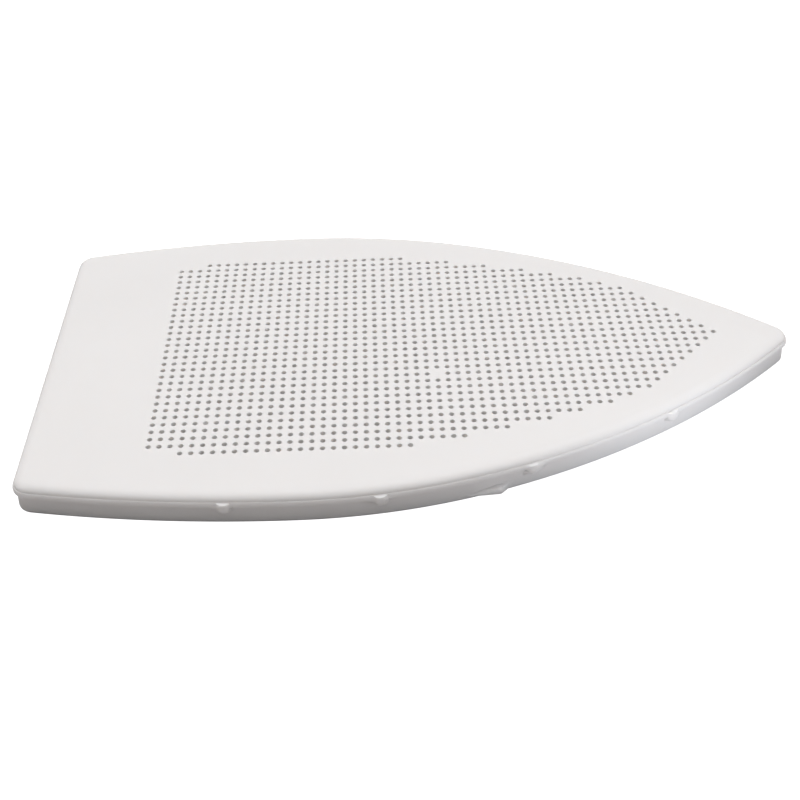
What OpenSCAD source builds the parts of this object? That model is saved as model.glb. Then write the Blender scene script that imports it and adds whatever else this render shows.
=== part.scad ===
// Iron shoe cover: a one-piece moulded shell that slips over the soleplate of an iron.
// It lies on its open rim with the ironing face up. +X points to the nose, z = 0 is the rim, and
// x = 0 is the middle of the whole length, the swell of the heel wall included.

/* [Overall size] */
// Length from the heel to the tip of the nose
shoe_l = 230; // [215:1:250]
// Width across the lip at the widest place
shoe_w = 129; // [123:1:135]
// Height from the open rim to the ironing face
shoe_h = 9.5; // [8.5:0.5:16]

/* [Outline] */
// Distance from the heel to the widest place
widest_at = 79; // [74:1:86]
// Radius of each side from the widest place back to the heel
rear_r = 420; // [360:10:500]
// Radius of each side just ahead of the widest place
side_r = 194; // [182:1:215]
// Angle of that arc before the flatter front arc takes over
side_sweep = 16.5; // [13:0.5:18.5]
// Radius of the nose
nose_r = 5.5; // [5.5:0.5:8.5]
// Radius of the two heel corners
heel_r = 5.5; // [5.5:0.5:12]

/* [Shell] */
// Thickness of the perforated sole
sole_t = 2.5; // [2:0.1:3]
// Thickness of the rim wall
wall_t = 2.2; // [1.6:0.1:2.4]
// Radius of the inside corner between the sole and the wall
inner_r = 1.5; // [0.8:0.1:1.6]

/* [Edge of the sole] */
// How far the rounded edge of the sole reaches inwards
edge_in = 2.9; // [2:0.1:3.2]
// How far the rounded edge of the sole drops to the crease
edge_drop = 1.4; // [1:0.1:1.6]
// Width of the lip that runs round outside the crease
lip_w = 1.5; // [1.2:0.1:1.8]
// Drop of the lip from the crease to its outermost line
lip_drop = 0.9; // [0.7:0.1:1.3]
// Height of the upright outer face of the lip
lip_face = 0.2; // [0.1:0.1:0.5]
// How far the wall stands back under the lip
wall_back = 0.9; // [0.5:0.1:1]
// How far the wall flares out from the ledge to the rim
wall_flare = 0.5; // [0:0.1:0.8]
// Radius of the outer edge of the rim
rim_r = 0.8; // [0.3:0.1:1]

/* [Holes] */
// Distance between the holes along and across the sole
pitch = 3.1; // [3:0.05:3.15]
// Diameter of a hole
hole_d = 1.5; // [1.2:0.1:1.7]
// Distance from the heel to the first row of holes
first_hole = 36.8; // [35:0.1:39.5]
// How far the middle line of the holes lies off the middle of the sole
hole_shift = 1.3; // [-1.5:0.1:1.5]

/* [Knobs and mark on the wall] */
// Number of small knobs along each side
knobs = 4; // [1:1:4]
// Distance from the heel to the first knob
first_knob = 59.5; // [55:0.5:65]
// Distance between the knobs
knob_gap = 42.8; // [40:0.1:44]
// Radius of a knob
knob_r = 2.2; // [1.8:0.1:2.4]
// How far the middle of a knob lies in from the wall and down from the ledge
knob_sink = 0.7; // [0.6:0.1:0.9]
// Distance from the heel to the moulding mark at the bottom of the wall
mark_x = 135.5; // [125:0.5:145]
// Radius of the moulding mark
mark_r = 1.5; // [1.2:0.1:1.8]
// Length of its tail
mark_tail = 8; // [5:0.5:10]

/* [Swell of the heel wall] */
// Radius of the shallow swell in the heel wall
swell_r = 116; // [100:1:130]
// How far the swell stands out past the lip
swell_out = 1.1; // [0.6:0.1:1.3]
// How far the middle of the swell lies off the middle of the heel
swell_y = 8; // [0:0.5:15]

/* [Hidden] */

// Facets of a full circle, and points of a rounded edge in the section
smooth = 48;
edge_steps = 4;
// Distance between the stations along the outline, and the fewest on a corner
station_gap = 8;
corner_steps = 7;
// Overlap of solids that are fused, and the small chamfer inside the rim
fuse = 0.5;
rim_chamfer = 0.4;

// Centres of the arcs that make one side, worked out so that they meet smoothly
heel_x = (swell_out - shoe_l) / 2;
widest = [heel_x + widest_at, shoe_w / 2];
rear_c = widest - [0, rear_r];
side_c = widest - [0, side_r];
side_n = [sin(side_sweep), cos(side_sweep)];
side_end = side_c + side_r * side_n;
nose_c = [heel_x + shoe_l - nose_r, 0];
to_side = side_end - nose_c;
front_r = (to_side * to_side - nose_r * nose_r) / (2 * (to_side * side_n - nose_r));
front_c = side_end - front_r * side_n;
nose_a = atan2((nose_c - front_c)[1], (nose_c - front_c)[0]);
corner_x = heel_x + heel_r;
corner_y = sqrt((rear_r - heel_r) ^ 2 - (corner_x - rear_c[0]) ^ 2) + rear_c[1];
corner_c = [corner_x, corner_y];
rear_a = atan2((corner_c - rear_c)[1], (corner_c - rear_c)[0]);

// Arcs of one side from the heel to the nose: centre, radius, first angle, last angle
SIDE = [
    [corner_c, heel_r, 180, rear_a],
    [rear_c, rear_r, rear_a, 90],
    [side_c, side_r, 90, 90 - side_sweep],
    [front_c, front_r, 90 - side_sweep, nose_a]
];

// Heights and insets of the section, measured in from the outermost line of the lip
wall_in = wall_back + wall_t;
floor_z = shoe_h - sole_t;
crease_z = shoe_h - edge_drop;
lip_z = crease_z - lip_drop;
ledge_z = lip_z - lip_face - wall_back / 2;
flat_in = lip_w + edge_in;
rim_in = max(flat_in, wall_in + inner_r) + fuse;
plate_in = rim_in - fuse / 2;

// Bands of rows: first and last row from the heel, and how many holes lie each side of the middle
BANDS = [
    [0, 2, 14], [3, 24, 15], [25, 29, 14], [30, 33, 13], [34, 37, 12], [38, 40, 11],
    [41, 43, 10], [44, 45, 9], [46, 47, 8], [48, 48, 7], [49, 49, 6], [50, 50, 5],
    [51, 51, 4], [52, 52, 3], [53, 53, 2], [54, 54, 1], [55, 55, 0]
];
// The one hole that is blind
blind_row = 27;
blind_place = -5;

// Points of an elliptical arc in the section
function bend(c, rx, rz, a0, a1) =
    [for (i = [0:edge_steps]) let (a = a0 + (a1 - a0) * i / edge_steps)
        [c[0] + rx * cos(a), c[1] + rz * sin(a)]];

// Section of the edge: rounded sole, crease, lip, wall and open rim
function edge_section() = concat(
    [[-rim_in, shoe_h]],
    bend([-flat_in, crease_z], edge_in, edge_drop, 90, 0),
    bend([-lip_w, lip_z], lip_w, lip_drop, 90, 0),
    [[0, lip_z - lip_face], [-wall_back, ledge_z]],
    bend([-wall_back + wall_flare - rim_r, rim_r], rim_r, rim_r, 0, -90),
    [[-wall_in + rim_chamfer, 0], [-wall_in, rim_chamfer]],
    bend([-wall_in - inner_r, floor_z - inner_r], inner_r, inner_r, 0, 90),
    [[-rim_in, floor_z]]
);

// Stations along one side, each with its arc's centre, its radius and its angle
function steps(arc) =
    max(corner_steps, ceil(arc[1] * abs(arc[3] - arc[2]) * PI / (180 * station_gap)));
function stations(arc) = let (n = steps(arc))
    [for (i = [0:n]) [arc[0], arc[1], arc[2] + (arc[3] - arc[2]) * i / n]];
SIDE_STATIONS = [for (arc = SIDE) each stations(arc)];
NOSE_STATIONS = [
    for (i = [1:corner_steps - 1]) [nose_c, nose_r, nose_a * (1 - 2 * i / corner_steps)]
];
function flip(list) =
    [for (i = [len(list) - 1:-1:0])
        [[list[i][0][0], -list[i][0][1]], list[i][1], -list[i][2]]];
LOOP = concat(SIDE_STATIONS, NOSE_STATIONS, flip(SIDE_STATIONS));
RING = [for (i = [0:len(LOOP) - 1]) if (!meets(LOOP[i], LOOP[(i + 1) % len(LOOP)])) LOOP[i]];

// Place on the ring at a distance out from the lip (inwards is negative), and a test for doubles
function place_on(station, out) =
    station[0] + (station[1] + out) * [cos(station[2]), sin(station[2])];
function meets(a, b) = norm(place_on(a, 0) - place_on(b, 0)) < fuse / 100;

// Arc of one side that holds a place along the length
function arc_at(x) = x < widest[0] ? SIDE[1] : x < side_end[0] ? SIDE[2] : SIDE[3];

// Moves a shape to one side, some way from the heel, in from the lip and up, and turns it outwards
module on_side(from_heel, inset, z) {
    x = heel_x + from_heel;
    s = arc_at(x);
    a = acos((x - s[0][0]) / s[1]);
    translate([each place_on([s[0], s[1], a], -inset), z]) rotate(a) children();
}

// The whole edge, as one section carried round the outline
module edge() {
    section = edge_section();
    m = len(section);
    n = len(RING);
    polyhedron(
        points = [for (s = RING) for (p = section) let (q = place_on(s, p[0])) [q[0], q[1], p[1]]],
        faces = [
            for (i = [0:n - 1]) for (j = [0:m - 1])
                let (k = (i + 1) % n, l = (j + 1) % m)
                    [i * m + j, i * m + l, k * m + l, k * m + j]
        ]
    );
}

// Sole inside the edge, before it is drilled
module plate()
    translate([0, 0, floor_z]) linear_extrude(sole_t)
        polygon([for (s = RING) place_on(s, -plate_in)]);

// The holes, in rows that step in with the outline
module holes()
    for (band = BANDS) for (row = [band[0]:band[1]]) for (place = [-band[2]:band[2]])
        if (!(row == blind_row && place == blind_place))
            translate([heel_x + first_hole + row * pitch, hole_shift + place * pitch, floor_z - fuse])
                cylinder(d = hole_d, h = sole_t + 2 * fuse, $fn = smooth / 2);

// A small knob under the ledge, cut off halfway through the wall
module knob(from_heel)
    on_side(from_heel, wall_back + knob_sink, ledge_z - knob_sink) intersection() {
        sphere(r = knob_r, $fn = smooth);
        translate([knob_sink - wall_t / 2, -2 * knob_r, -2 * knob_r]) cube(4 * knob_r);
    }

// A drop of plastic low on the near wall, with a tail that points to the heel
module moulding_mark()
    mirror([0, 1, 0]) on_side(mark_x, wall_back - wall_flare, mark_r) {
        sphere(r = mark_r, $fn = smooth);
        rotate([-90, 0, 0])
            cylinder(r1 = 0.9 * mark_r, r2 = 0.2 * mark_r, h = mark_tail, $fn = smooth);
    }

module heel_swell()
    translate([heel_x - swell_out + swell_r, swell_y]) linear_extrude(ledge_z)
        intersection() {
            circle(r = swell_r, $fn = smooth);
            translate([-swell_r - swell_out, -swell_r])
                square([2 * swell_out + wall_back + wall_t / 2, 2 * swell_r]);
        }

module sole_shell()
    color("white") difference() {
        union() {
            edge();
            plate();
            heel_swell();
            moulding_mark();
            for (side = [0, 1]) mirror([0, side, 0])
                for (i = [0:knobs - 1]) knob(first_knob + i * knob_gap);
        }
        holes();
    }

sole_shell();
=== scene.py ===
# %% [markdown]
# An iron shoe cover is one shell of white fluoropolymer, the slippery plastic of non-stick pans.
# It clips over the hot soleplate of an iron, and steam passes through its many small holes.
# Here it lies on its open rim with the ironing face up. This lesson loads the measured model,
# rebuilds its surface finely enough for a close look, and gives it its satin white finish.

# %% Load the measured model
import math

import bmesh
import bpy
from mathutils import Matrix, Vector


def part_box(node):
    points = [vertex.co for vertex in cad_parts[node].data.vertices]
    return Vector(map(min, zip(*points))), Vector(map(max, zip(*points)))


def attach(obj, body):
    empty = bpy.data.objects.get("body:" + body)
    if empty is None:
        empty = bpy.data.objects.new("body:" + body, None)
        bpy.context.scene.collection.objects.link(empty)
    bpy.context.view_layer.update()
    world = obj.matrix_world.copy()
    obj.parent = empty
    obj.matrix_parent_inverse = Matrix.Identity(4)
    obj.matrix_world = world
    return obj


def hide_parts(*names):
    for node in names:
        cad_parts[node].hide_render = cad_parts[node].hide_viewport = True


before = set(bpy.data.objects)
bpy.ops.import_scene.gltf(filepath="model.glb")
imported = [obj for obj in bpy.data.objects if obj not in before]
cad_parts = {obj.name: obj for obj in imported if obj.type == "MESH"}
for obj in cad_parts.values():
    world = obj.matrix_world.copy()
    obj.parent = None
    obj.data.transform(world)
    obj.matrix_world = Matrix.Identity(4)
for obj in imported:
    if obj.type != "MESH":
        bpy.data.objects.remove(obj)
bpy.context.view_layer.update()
shell_low, shell_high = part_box("sole_shell")
mm = 0.001
print("measured shell, mm:", [round(v / mm, 1) for v in shell_high - shell_low])

# %% [markdown]
# The outline is a chain of arcs that meet smoothly: a small nose, a flat front arc, a rounder
# side arc, a very flat rear arc and the heel corner. Only a few sizes drive it. The radius of
# the front arc isn't chosen: it follows from the arcs on both its sides, which it has to touch.

# %% Work out the outline of one side
height = shell_high.z
swell_out = 1.1 * mm
heel_x = shell_low.x + swell_out
nose_x = shell_high.x
half_width = 64.5 * mm
widest_at = 79 * mm
rear_r, side_r, nose_r, heel_r = 420 * mm, 194 * mm, 5.5 * mm, 5.5 * mm
side_sweep = math.radians(16.5)

rear_c = Vector((heel_x + widest_at, half_width - rear_r))
side_c = Vector((heel_x + widest_at, half_width - side_r))
side_n = Vector((math.sin(side_sweep), math.cos(side_sweep)))
side_end = side_c + side_r * side_n
nose_c = Vector((nose_x - nose_r, 0))
to_side = side_end - nose_c
front_r = (to_side.length_squared - nose_r**2) / (2 * (to_side.dot(side_n) - nose_r))
front_c = side_end - front_r * side_n
corner_x = heel_x + heel_r
corner_y = math.sqrt((rear_r - heel_r) ** 2 - (corner_x - rear_c.x) ** 2) + rear_c.y
corner_c = Vector((corner_x, corner_y))


def direction(start, end):
    return math.atan2(end.y - start.y, end.x - start.x)


nose_a = direction(front_c, nose_c)
rear_a = direction(rear_c, corner_c)
quarter = math.pi / 2
side_arcs = [
    (nose_c, nose_r, 0, nose_a),
    (front_c, front_r, nose_a, quarter - side_sweep),
    (side_c, side_r, quarter - side_sweep, quarter),
    (rear_c, rear_r, quarter, rear_a),
    (corner_c, heel_r, rear_a, math.pi),
]
print("front arc radius, mm:", round(front_r / mm, 1))

# %% [markdown]
# The edge has one section all round: the sole rolls over into a crease, a lip stands out below
# it, and the wall drops from the lip to the open rim, flaring out a little on its way down.
# Distances are measured in from the lip.

# %% Draw the section of the edge
sole_t, wall_t, inner_r = 2.5 * mm, 2.2 * mm, 1.5 * mm
edge_in, edge_drop = 3.1 * mm, 1.45 * mm
lip_w, lip_drop, lip_face = 0.6 * mm, 1.3 * mm, 0.2 * mm
lip_r, wall_back, wall_flare = 0.2 * mm, 0.9 * mm, 0.5 * mm
rim_r, rim_chamfer = 0.8 * mm, 0.4 * mm
wall_in = wall_back + wall_t
floor_z = height - sole_t
crease_z = height - edge_drop
lip_z = crease_z - lip_drop
ledge_z = lip_z - lip_face - wall_back / 2
flat_in = lip_w + edge_in
rim_in = wall_in + inner_r + 0.5 * mm
bend_steps = 7


def bend(x, z, rx, rz, start, end):
    """Points of a rounded stretch, from one angle in degrees to another."""
    points = []
    for i in range(bend_steps + 1):
        a = math.radians(start + (end - start) * i / bend_steps)
        points.append((x + rx * math.cos(a), z + rz * math.sin(a)))
    return points


section = [(-rim_in, height)]
section += bend(-flat_in, crease_z, edge_in, edge_drop, 90, 12)
section += [(0.05 * mm - lip_w, crease_z - 0.22 * mm)]
section += bend(-lip_w, lip_z, lip_w, lip_drop, 68, 0)
section += bend(-lip_r, lip_z - lip_face, lip_r, lip_r, 0, -60)
wall_steps = 9
for i in range(wall_steps):
    down = i / wall_steps
    section.append((-wall_back + wall_flare * down, ledge_z + (rim_r - ledge_z) * down))
section += bend(-wall_back + wall_flare - rim_r, rim_r, rim_r, rim_r, 0, -90)
section += [(-wall_in + rim_chamfer, 0), (-wall_in, rim_chamfer)]
section += bend(-wall_in - inner_r, floor_z - inner_r, inner_r, inner_r, 0, 90)
section += [(-rim_in, floor_z)]
print("points in the section:", len(section))

# %% [markdown]
# A section carried round an arc is a job for the spin operator. Each spin hands its last row of
# edges to the next one, so the whole side is one strip. A mirror across the middle makes the
# other side, and doubles on the seam are merged.

# %% Spin the section round the outline
station_gap = 2.2 * mm
fewest_steps = 9
up = Vector((0, 0, 1))


def flat(point, z=0):
    return Vector((point[0], point[1], z))


def extruded(bm, edges):
    """Extrude a row of edges in place, and give the new row and its points."""
    made = bmesh.ops.extrude_edge_only(bm, edges=edges)["geom"]
    verts = {v for v in made if isinstance(v, bmesh.types.BMVert)}
    row = [e for e in made if isinstance(e, bmesh.types.BMEdge) and verts.issuperset(e.verts)]
    return row, list(verts)


def spun_edge():
    bm = bmesh.new()
    verts = [bm.verts.new((nose_x + d, 0, z)) for d, z in section]
    row = [bm.edges.new(pair) for pair in zip(verts, verts[1:])]
    for centre, radius, start, end in side_arcs:
        steps = max(fewest_steps, math.ceil(radius * (end - start) / station_gap))
        made = bmesh.ops.spin(
            bm, geom=row, cent=flat(centre), axis=up, angle=end - start, steps=steps
        )
        row = [e for e in made["geom_last"] if isinstance(e, bmesh.types.BMEdge)]
    heel_steps = math.ceil(corner_y / station_gap)
    for _ in range(heel_steps):
        row, verts = extruded(bm, row)
        bmesh.ops.translate(bm, verts=verts, vec=(0, -corner_y / heel_steps, 0))
    bmesh.ops.mirror(bm, geom=bm.verts[:] + bm.edges[:] + bm.faces[:], axis="Y")
    bmesh.ops.remove_doubles(bm, verts=bm.verts[:], dist=0.01 * mm)
    return bm


# %% [markdown]
# A knob is a soft nub on the wall, just under the lip. Rather than stick a ball on the wall,
# the skin round each place is divided more finely and pushed out in a smooth dome, so the
# surface stays whole. The moulding mark is a dome with a tail. The swell of the heel wall is
# pushed out the same way.

# %% Raise the knobs, the moulding mark and the swell
first_knob, knob_gap, knobs = 59.5 * mm, 42.8 * mm, 4
knob_r, knob_out = 2.4 * mm, 1.75 * mm
knob_z = {-1: 6.3 * mm, 1: 5.85 * mm}
mark_x, mark_r, mark_tail = 135.5 * mm, 1.5 * mm, 8 * mm
swell_r, swell_y = 116 * mm, 8 * mm


def place_on_side(side, from_heel, inset, z):
    """Place and outward direction on one side (1 or -1) at a distance from the heel."""
    x = heel_x + from_heel
    centre, radius = rear_c, rear_r
    if x > side_end.x:
        centre, radius = front_c, front_r
    elif x > rear_c.x:
        centre, radius = side_c, side_r
    a = math.acos((x - centre.x) / radius)
    out = Vector((math.cos(a), side * math.sin(a), 0))
    return Vector((centre.x, side * centre.y, z)) + (radius - inset) * out, out


def raise_dome(bm, centre, out, radius, peak, tail=Vector((0, 0, 0)), cuts=3):
    """Push the skin round a centre out into a dome, which may taper off along a tail."""
    middle, near = centre + tail / 2, tail.length / 2 + 1.3 * radius
    edges = [e for e in bm.edges if all((v.co - middle).length < near for v in e.verts)]
    bmesh.ops.subdivide_edges(bm, edges=edges, cuts=cuts, use_grid_fill=True)
    for v in bm.verts:
        if (v.co - middle).length < near:
            offset = v.co - centre
            run = offset.dot(tail) / max(tail.length_squared, mm**2)
            along = min(max(run, 0), 1)
            depth = offset.dot(out)
            spread = (offset - depth * out - along * tail).length / (radius * (1 - 0.8 * along))
            if spread < 1 and depth > -wall_t / 2 and v.co.z < crease_z - 0.25 * mm:
                dome = peak * (1 - 0.8 * along) * math.sqrt(1 - spread**3)
                v.co += out * max(0, dome - depth)


def raise_swell(bm):
    for v in bm.verts:
        if v.co.z < ledge_z + 0.05 * mm and v.co.x < heel_x + wall_back + wall_t / 3:
            run = swell_r**2 - (v.co.y - swell_y) ** 2
            front = heel_x - swell_out + swell_r - math.sqrt(max(run, 0))
            wall_x = heel_x + wall_back - wall_flare
            v.co.x += min(0, front - wall_x)


# %% [markdown]
# The sole is perforated in a square grid. One tile is a square with a round hole through it:
# square rings for its two faces, round rings of the same count for the hole, and bridges from
# ring to ring. Spin with no angle and a step along an axis copies the tile into rows and columns.

# %% Make one tile with a hole
pitch, hole_r = 3.1 * mm, 0.75 * mm
hole_sides = 12
hole_bevel = 0.08 * mm


def as_mesh(bm, name):
    mesh = bpy.data.meshes.new(name)
    bm.to_mesh(mesh)
    bm.free()
    return mesh


def boundary(bm, z):
    return [e for e in bm.edges if e.is_boundary and all(abs(v.co.z - z) < 1e-6 for v in e.verts)]


def loop_through(verts):
    return list({e for v in verts for e in v.link_edges})


def square_ring(bm, z):
    """The rim of one tile: a grid of nine squares that has lost its four inner points."""
    grid = bmesh.ops.create_grid(
        bm, x_segments=3, y_segments=3, size=pitch / 2, matrix=Matrix.Translation((0, 0, z))
    )["verts"]
    inner = [v for v in grid if max(abs(v.co.x), abs(v.co.y)) < pitch / 3]
    rim = [v for v in grid if v not in inner]
    bmesh.ops.delete(bm, geom=inner, context="VERTS")
    return loop_through(rim)


def round_ring(bm, z, radius):
    turn = Matrix.Translation((0, 0, z)) @ Matrix.Rotation(math.pi / hole_sides, 4, "Z")
    circle = bmesh.ops.create_circle(bm, segments=hole_sides, radius=radius, matrix=turn)
    return loop_through(circle["verts"])


def holed_tile():
    bm = bmesh.new()
    top, bottom = sole_t / 2, -sole_t / 2
    face, mouth = square_ring(bm, top), round_ring(bm, top, hole_r + hole_bevel)
    inner_face, inner_mouth = square_ring(bm, bottom), round_ring(bm, bottom, hole_r)
    throat = round_ring(bm, top - hole_bevel, hole_r)
    pairs = [(face, mouth), (inner_face, inner_mouth), (mouth, throat), (throat, inner_mouth)]
    for first, second in pairs:
        bmesh.ops.bridge_loops(bm, edges=first + second)
    return as_mesh(bm, "holed_tile")


def blind_tile():
    bm = bmesh.new()
    for z in (sole_t / 2, -sole_t / 2):
        bmesh.ops.create_grid(
            bm, x_segments=3, y_segments=3, size=pitch / 2, matrix=Matrix.Translation((0, 0, z))
        )
    return as_mesh(bm, "blind_tile")


# %% [markdown]
# The rows step in as the outline narrows. Each band of rows is first row, last row and how many
# holes lie each side of the middle. One hole of the real sole was never punched, so its tile
# is swapped for a plain one.

# %% Lay the tiles in bands
bands = [
    (0, 2, 14), (3, 24, 15), (25, 29, 14), (30, 33, 13), (34, 37, 12), (38, 40, 11),
    (41, 43, 10), (44, 45, 9), (46, 47, 8), (48, 48, 7), (49, 49, 6), (50, 50, 5),
    (51, 51, 4), (52, 52, 3), (53, 53, 2), (54, 54, 1), (55, 55, 0),
]
blind_row, blind_place = 27, -5
first_hole, hole_shift = 36.8 * mm, 1.3 * mm


def copies(bm, step, count):
    if count:
        geom = bm.verts[:] + bm.edges[:] + bm.faces[:]
        bmesh.ops.spin(
            bm, geom=geom, cent=(0, 0, 0), axis=up, dvec=step, angle=0, steps=count,
            use_duplicate=True,
        )


def perforated_field():
    holed, blind = holed_tile(), blind_tile()
    field = bmesh.new()
    for first, last, half in bands:
        band = bmesh.new()
        band.from_mesh(holed)
        bmesh.ops.translate(band, verts=band.verts[:], vec=(first * pitch, -half * pitch, 0))
        copies(band, (0, pitch, 0), 2 * half)
        copies(band, (pitch, 0, 0), last - first)
        field.from_mesh(as_mesh(band, "band"))
    centre = Vector((blind_row, blind_place, 0)) * pitch
    cell = [
        f for f in field.faces
        if max(abs(f.calc_center_median().x - centre.x), abs(f.calc_center_median().y - centre.y))
        < pitch / 2
    ]
    bmesh.ops.delete(field, geom=cell, context="FACES")
    plain = bmesh.new()
    plain.from_mesh(blind)
    bmesh.ops.translate(plain, verts=plain.verts[:], vec=centre)
    field.from_mesh(as_mesh(plain, "plain"))
    bmesh.ops.remove_doubles(field, verts=field.verts[:], dist=0.01 * mm)
    place = (heel_x + first_hole, hole_shift, height - sole_t / 2)
    bmesh.ops.translate(field, verts=field.verts[:], vec=place)
    print("faces in the perforated field:", len(field.faces))
    return as_mesh(field, "field")


# %% [markdown]
# The strip of the edge and the field of tiles share the flat sole. Between them lies a plain
# band, which a triangle fill closes on the face and again on the inner side.

# %% Join the edge and the field into one shell
def sole_shell():
    bm = spun_edge()
    for side in (1, -1):
        for i in range(knobs):
            from_heel = first_knob + i * knob_gap
            place, out = place_on_side(side, from_heel, wall_back, knob_z[side])
            raise_dome(bm, place, out, knob_r, knob_out)
    place, out = place_on_side(-1, mark_x, wall_back - wall_flare, mark_r)
    raise_dome(bm, place, out, mark_r, mark_r, tail=out.cross(up) * mark_tail)
    raise_swell(bm)
    bm.from_mesh(perforated_field())
    for z, normal in ((height, up), (floor_z, -up)):
        bmesh.ops.triangle_fill(bm, use_beauty=True, edges=boundary(bm, z), normal=normal)
    bmesh.ops.recalc_face_normals(bm, faces=bm.faces[:])
    open_edges = [e for e in bm.edges if not e.is_manifold]
    print("faces:", len(bm.faces), "open edges:", len(open_edges), "volume, cm3:",
          round(bm.calc_volume() * 1e6, 1))
    mesh = as_mesh(bm, "cover_shell")
    mesh.shade_smooth()
    mesh.set_sharp_from_angle(angle=math.radians(35))
    shell = bpy.data.objects.new("cover_shell", mesh)
    bpy.context.scene.collection.objects.link(shell)
    return shell


shell = sole_shell()
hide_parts("sole_shell")
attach(shell, "root")

# %% [markdown]
# Shader maths reads best as plain expressions. A small class wraps one output of a node and
# turns + and * into Math nodes, so a pattern is written as it is thought of.

# %% A recipe for shaders
class Value:
    """One output of a node that can be used in arithmetic."""

    def __init__(self, recipe, socket):
        self.recipe, self.socket = recipe, socket

    def math(self, operation, first, second):
        return self.recipe.node("Math", {"operation": operation}, {0: first, 1: second})

    def __add__(self, other):
        return self.math("ADD", self, other)

    def __radd__(self, other):
        return self.math("ADD", other, self)

    def __sub__(self, other):
        return self.math("SUBTRACT", self, other)

    def __rsub__(self, other):
        return self.math("SUBTRACT", other, self)

    def __mul__(self, other):
        return self.math("MULTIPLY", self, other)

    def __rmul__(self, other):
        return self.math("MULTIPLY", other, self)

    def __pow__(self, other):
        return self.math("POWER", self, other)

    def at_least(self, other):
        return self.math("MAXIMUM", self, other)


class Recipe:
    """The nodes of a material or a sky, with its shader and one method that adds any other node."""

    def __init__(self, owner, shader):
        owner.use_nodes = True
        self.tree = owner.node_tree
        self.shader = self.tree.nodes[shader]

    def node(self, kind, settings=None, inputs=None, output=0):
        new = self.tree.nodes.new("ShaderNode" + kind)
        for name, value in (settings or {}).items():
            setattr(new, name, value)
        for name, value in (inputs or {}).items():
            self.put(new.inputs[name], value)
        return Value(self, new.outputs[output])

    def put(self, socket, value):
        if isinstance(value, Value):
            self.tree.links.new(value.socket, socket)
        else:
            socket.default_value = value

    def set(self, name, value):
        self.put(self.shader.inputs[name], value)


def new_material(name):
    material = bpy.data.materials.new(name)
    return material, Recipe(material, "Principled BSDF")


# %% [markdown]
# Moulded fluoropolymer is satin and milky: light goes a little way in before it comes out, so
# its shadows are soft. Its colour drifts very slightly, and its skin is not quite even.

# %% White fluoropolymer
def white_fluoropolymer():
    material, r = new_material("white_fluoropolymer")
    where = r.node("TexCoord", output="Object")
    drift = r.node("TexNoise", inputs={"Vector": where, "Scale": 28, "Detail": 3})
    grain = r.node("TexNoise", inputs={"Vector": where, "Scale": 900, "Detail": 2})
    tone = r.node(
        "Mix", {"data_type": "RGBA"},
        {"Factor": drift, "A": (0.815, 0.795, 0.787, 1), "B": (0.85, 0.83, 0.822, 1)}, output=2,
    )
    r.set("Base Color", tone)
    r.set("Roughness", 0.38 + 0.1 * drift)
    r.set("Subsurface Weight", 1.0)
    r.set("Subsurface Radius", (1, 0.97, 0.94))
    r.set("Subsurface Scale", 1.2 * mm)
    r.set("IOR", 1.38)
    r.set("Normal", r.node("Bump", inputs={"Strength": 0.04, "Distance": 0.05 * mm, "Height": grain}))
    return material


shell.data.materials.append(white_fluoropolymer())

# %% [markdown]
# The cover was photographed in a studio, under a broad soft light that hangs a little behind it.
# That light is so wide that the sky itself can hold it, as a soft lobe over a dim base. A small
# low light off the nose brightens the wall there. The photograph was then cut out on white, so
# the camera sees the floor as pure white, while the cover is lit by a grey one that carries
# painted shade: its colour is painted darker close to the cover.

# %% Sky, low light and floor with painted shade
sky_base, top_light = 0.27, 3.85
top_way = Vector((0.03, 0.41, 0.91)).normalized()
low_light_place, low_light_size, low_light_power = Vector((0.123, -0.128, 0.016)), 0.03, 0.019


def studio_sky():
    world = bpy.data.worlds.new("studio_sky")
    world.use_nodes = True
    r = Recipe(world, "Background")
    way = r.node("TexCoord", output="Generated")
    towards = r.node("VectorMath", {"operation": "DOT_PRODUCT"}, {0: way, 1: top_way}, "Value")
    seen = r.node("LightPath", output="Is Camera Ray")
    r.set("Color", (1, 1, 1, 1))
    r.set("Strength", sky_base + top_light * towards.at_least(0) ** 8 + seen)
    bpy.context.scene.world = world


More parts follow.
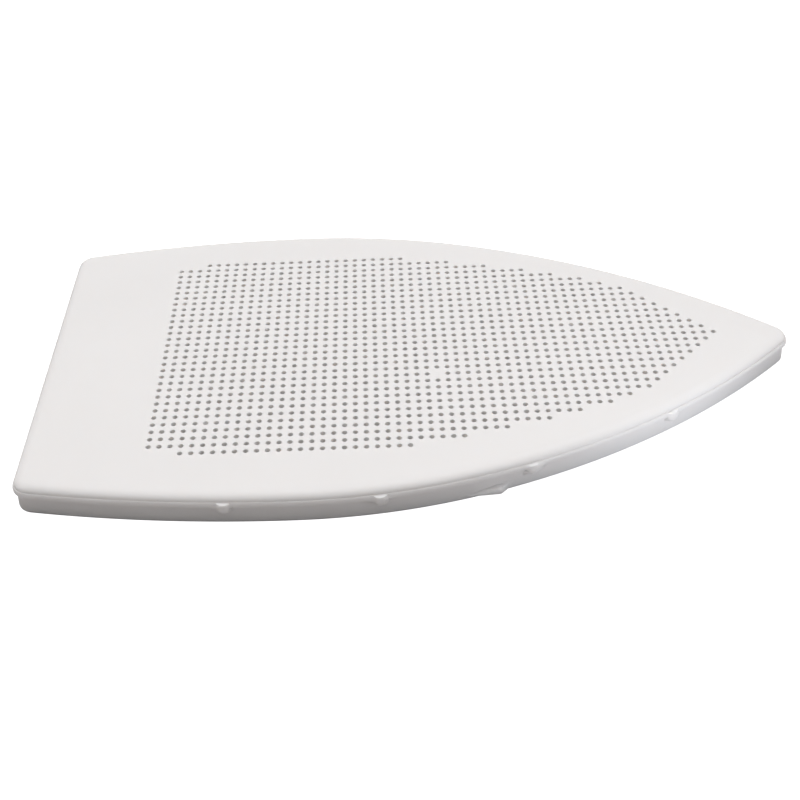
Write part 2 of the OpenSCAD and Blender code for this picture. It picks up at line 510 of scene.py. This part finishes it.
def low_light():
    light = bpy.data.lights.new("low_light", "AREA")
    light.size, light.energy = low_light_size, low_light_power
    light.color, light.spread = (0.88, 0.93, 1), math.radians(100)
    lamp = bpy.data.objects.new("low_light", light)
    lamp.location = low_light_place
    aim = Vector((0.7 * nose_x, -half_width / 2, height / 2)) - low_light_place
    lamp.rotation_euler = aim.to_track_quat("-Z", "Y").to_euler()
    lamp.visible_camera = False
    bpy.context.scene.collection.objects.link(lamp)


def stage_floor():
    bm = bmesh.new()
    bmesh.ops.create_grid(bm, x_segments=1, y_segments=1, size=3)
    floor = bpy.data.objects.new("floor", as_mesh(bm, "floor"))
    floor.location.z = -0.05 * mm
    bpy.context.scene.collection.objects.link(floor)
    material, r = new_material("white_floor")
    seen = r.node("LightPath", output="Is Camera Ray")
    # Painted shade: the floor's colour turns almost black close to the cover, where ambient occlusion
    # is high, so less light bounces up onto the rim.
    painted_shade_nearness = r.node("AmbientOcclusion", {"samples": 6}, {"Distance": 10 * mm}, output=1)
    tone = r.node(
        "Mix", {"data_type": "RGBA"},
        {"Factor": painted_shade_nearness ** 4, "A": (0.02, 0.02, 0.02, 1), "B": (0.62, 0.59, 0.58, 1)}, output=2,
    )
    r.set("Base Color", tone)
    r.set("Roughness", 0.9)
    r.set("Emission Color", (1, 1, 1, 1))
    r.set("Emission Strength", 1.2 * seen)
    r.set("Alpha", 1 - r.node("NewGeometry", output="Backfacing"))
    floor.data.materials.append(material)


studio_sky()
low_light()
stage_floor()
bpy.context.scene.view_settings.view_transform = "Standard"

# %% [markdown]
# The camera stands in front of the long side, looking down at about forty degrees. Its place
# was worked out from the grid of holes in the photograph.

# %% Camera
camera_place = (-9.1 * mm, -283.05 * mm, 233.5 * mm)
camera_turn = (48.96, 1.75, -1.20)
lens, sideways_shift = 52.2, 0.021
camera = bpy.data.objects.new("camera", bpy.data.cameras.new("camera"))
camera.location = camera_place
camera.rotation_euler = [math.radians(a) for a in camera_turn]
camera.data.lens = lens
camera.data.sensor_width = 36
camera.data.shift_x = sideways_shift
camera.data.clip_start = 0.01
bpy.context.scene.collection.objects.link(camera)
bpy.context.scene.camera = camera
